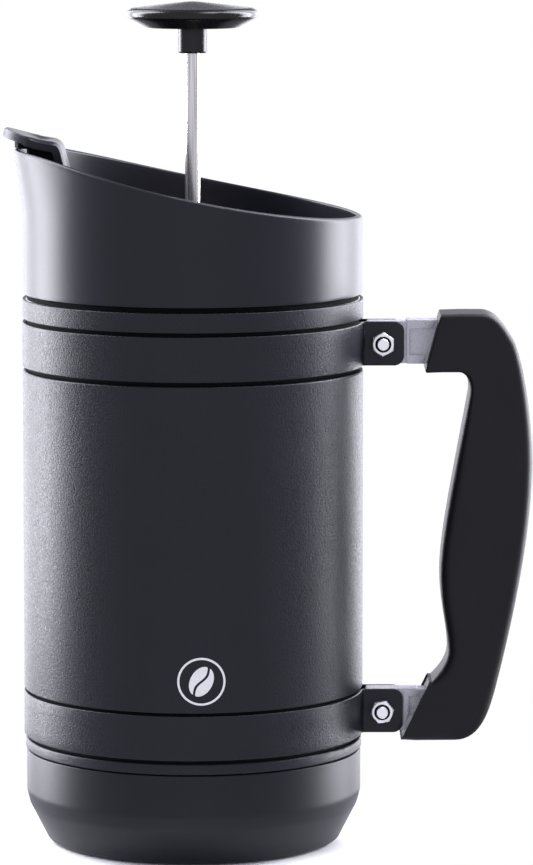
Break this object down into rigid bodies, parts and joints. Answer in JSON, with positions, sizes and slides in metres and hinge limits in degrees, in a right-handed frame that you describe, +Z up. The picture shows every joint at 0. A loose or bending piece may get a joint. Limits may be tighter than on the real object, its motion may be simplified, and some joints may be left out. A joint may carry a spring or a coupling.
{
  "type": "french press",
  "caption": "Insulated steel french press with bolted side handle, slanted lid with flip-up spout cover, and sliding knob, rod and filter plunger.",
  "frame": {"origin": "centre of the foot pad's underside, on the table", "axes": "+Z up the vessel's axis, +X towards the handle, -X towards the spout, +Y to the back"},
  "size_m": [0.1773, 0.1142, 0.2821],
  "materials": {
    "powder_coat": "matte charcoal powder coat with a fine grain",
    "brushed_liner": "satin drawn stainless steel",
    "moulded_base": "matte moulded plastic",
    "foot_rubber": "dull black rubber",
    "cast_alloy": "bead-blasted cast aluminium",
    "grip_soft": "soft-touch matte black",
    "plated_fastener": "bright plated steel",
    "lid_plastic": "matte moulded plastic",
    "flap_plastic": "matte moulded plastic",
    "silicone": "matte black silicone",
    "turned_steel": "fine turned stainless steel",
    "filter_steel": "pressed and woven stainless steel",
    "polished_rod": "polished stainless steel",
    "knob_gloss": "glossy black moulded plastic",
    "insert_brass": "turned brass"
  },
  "bodies": {
    "vessel": {"outer_shell": "powder_coat", "inner_liner": "brushed_liner", "vessel_base_plate": "brushed_liner", "vacuum_seal_cap": "brushed_liner", "base_cap": "moulded_base", "foot_pad": "foot_rubber", "upper_band_pad": "foot_rubber", "lower_band_pad": "foot_rubber", "upper_clamp_band": "powder_coat", "lower_clamp_band": "powder_coat", "handle_frame": "cast_alloy", "handle_grip": "grip_soft", "clamp_bolts": "plated_fastener", "clamp_nuts": "plated_fastener"},
    "lid": {"lid_collar": "lid_plastic", "lid_insert": "lid_plastic", "lid_gasket": "silicone", "rod_bushing": "turned_steel", "bushing_nut": "turned_steel", "pour_strainer": "filter_steel", "flap_hinge_pin": "turned_steel"},
    "flap": {"spout_flap": "flap_plastic", "flap_seal": "silicone", "flap_plug": "silicone"},
    "plunger": {"plunger_rod": "polished_rod", "knob": "knob_gloss", "knob_ferrule": "knob_gloss", "knob_insert": "insert_brass", "filter_collar": "turned_steel", "filter_plate": "filter_steel", "filter_spring": "filter_steel", "mesh_screen": "filter_steel", "cross_plate": "filter_steel", "filter_nut": "turned_steel"}
  },
  "joints": [
    {"name": "lid_lift", "type": "slide", "parent": "vessel", "child": "lid", "axis": [0, 0, 1], "range_m": [0, 0.2]},
    {"name": "flap_hinge", "type": "hinge", "parent": "lid", "child": "flap", "pos_m": [-0.031, 0, 0.206], "axis": [0, 1, 0], "range_deg": [0, 40]},
    {"name": "plunger_slide", "type": "slide", "parent": "lid", "child": "plunger", "axis": [0, 0, 1], "range_m": [-0.054, 0.074]}
  ]
}
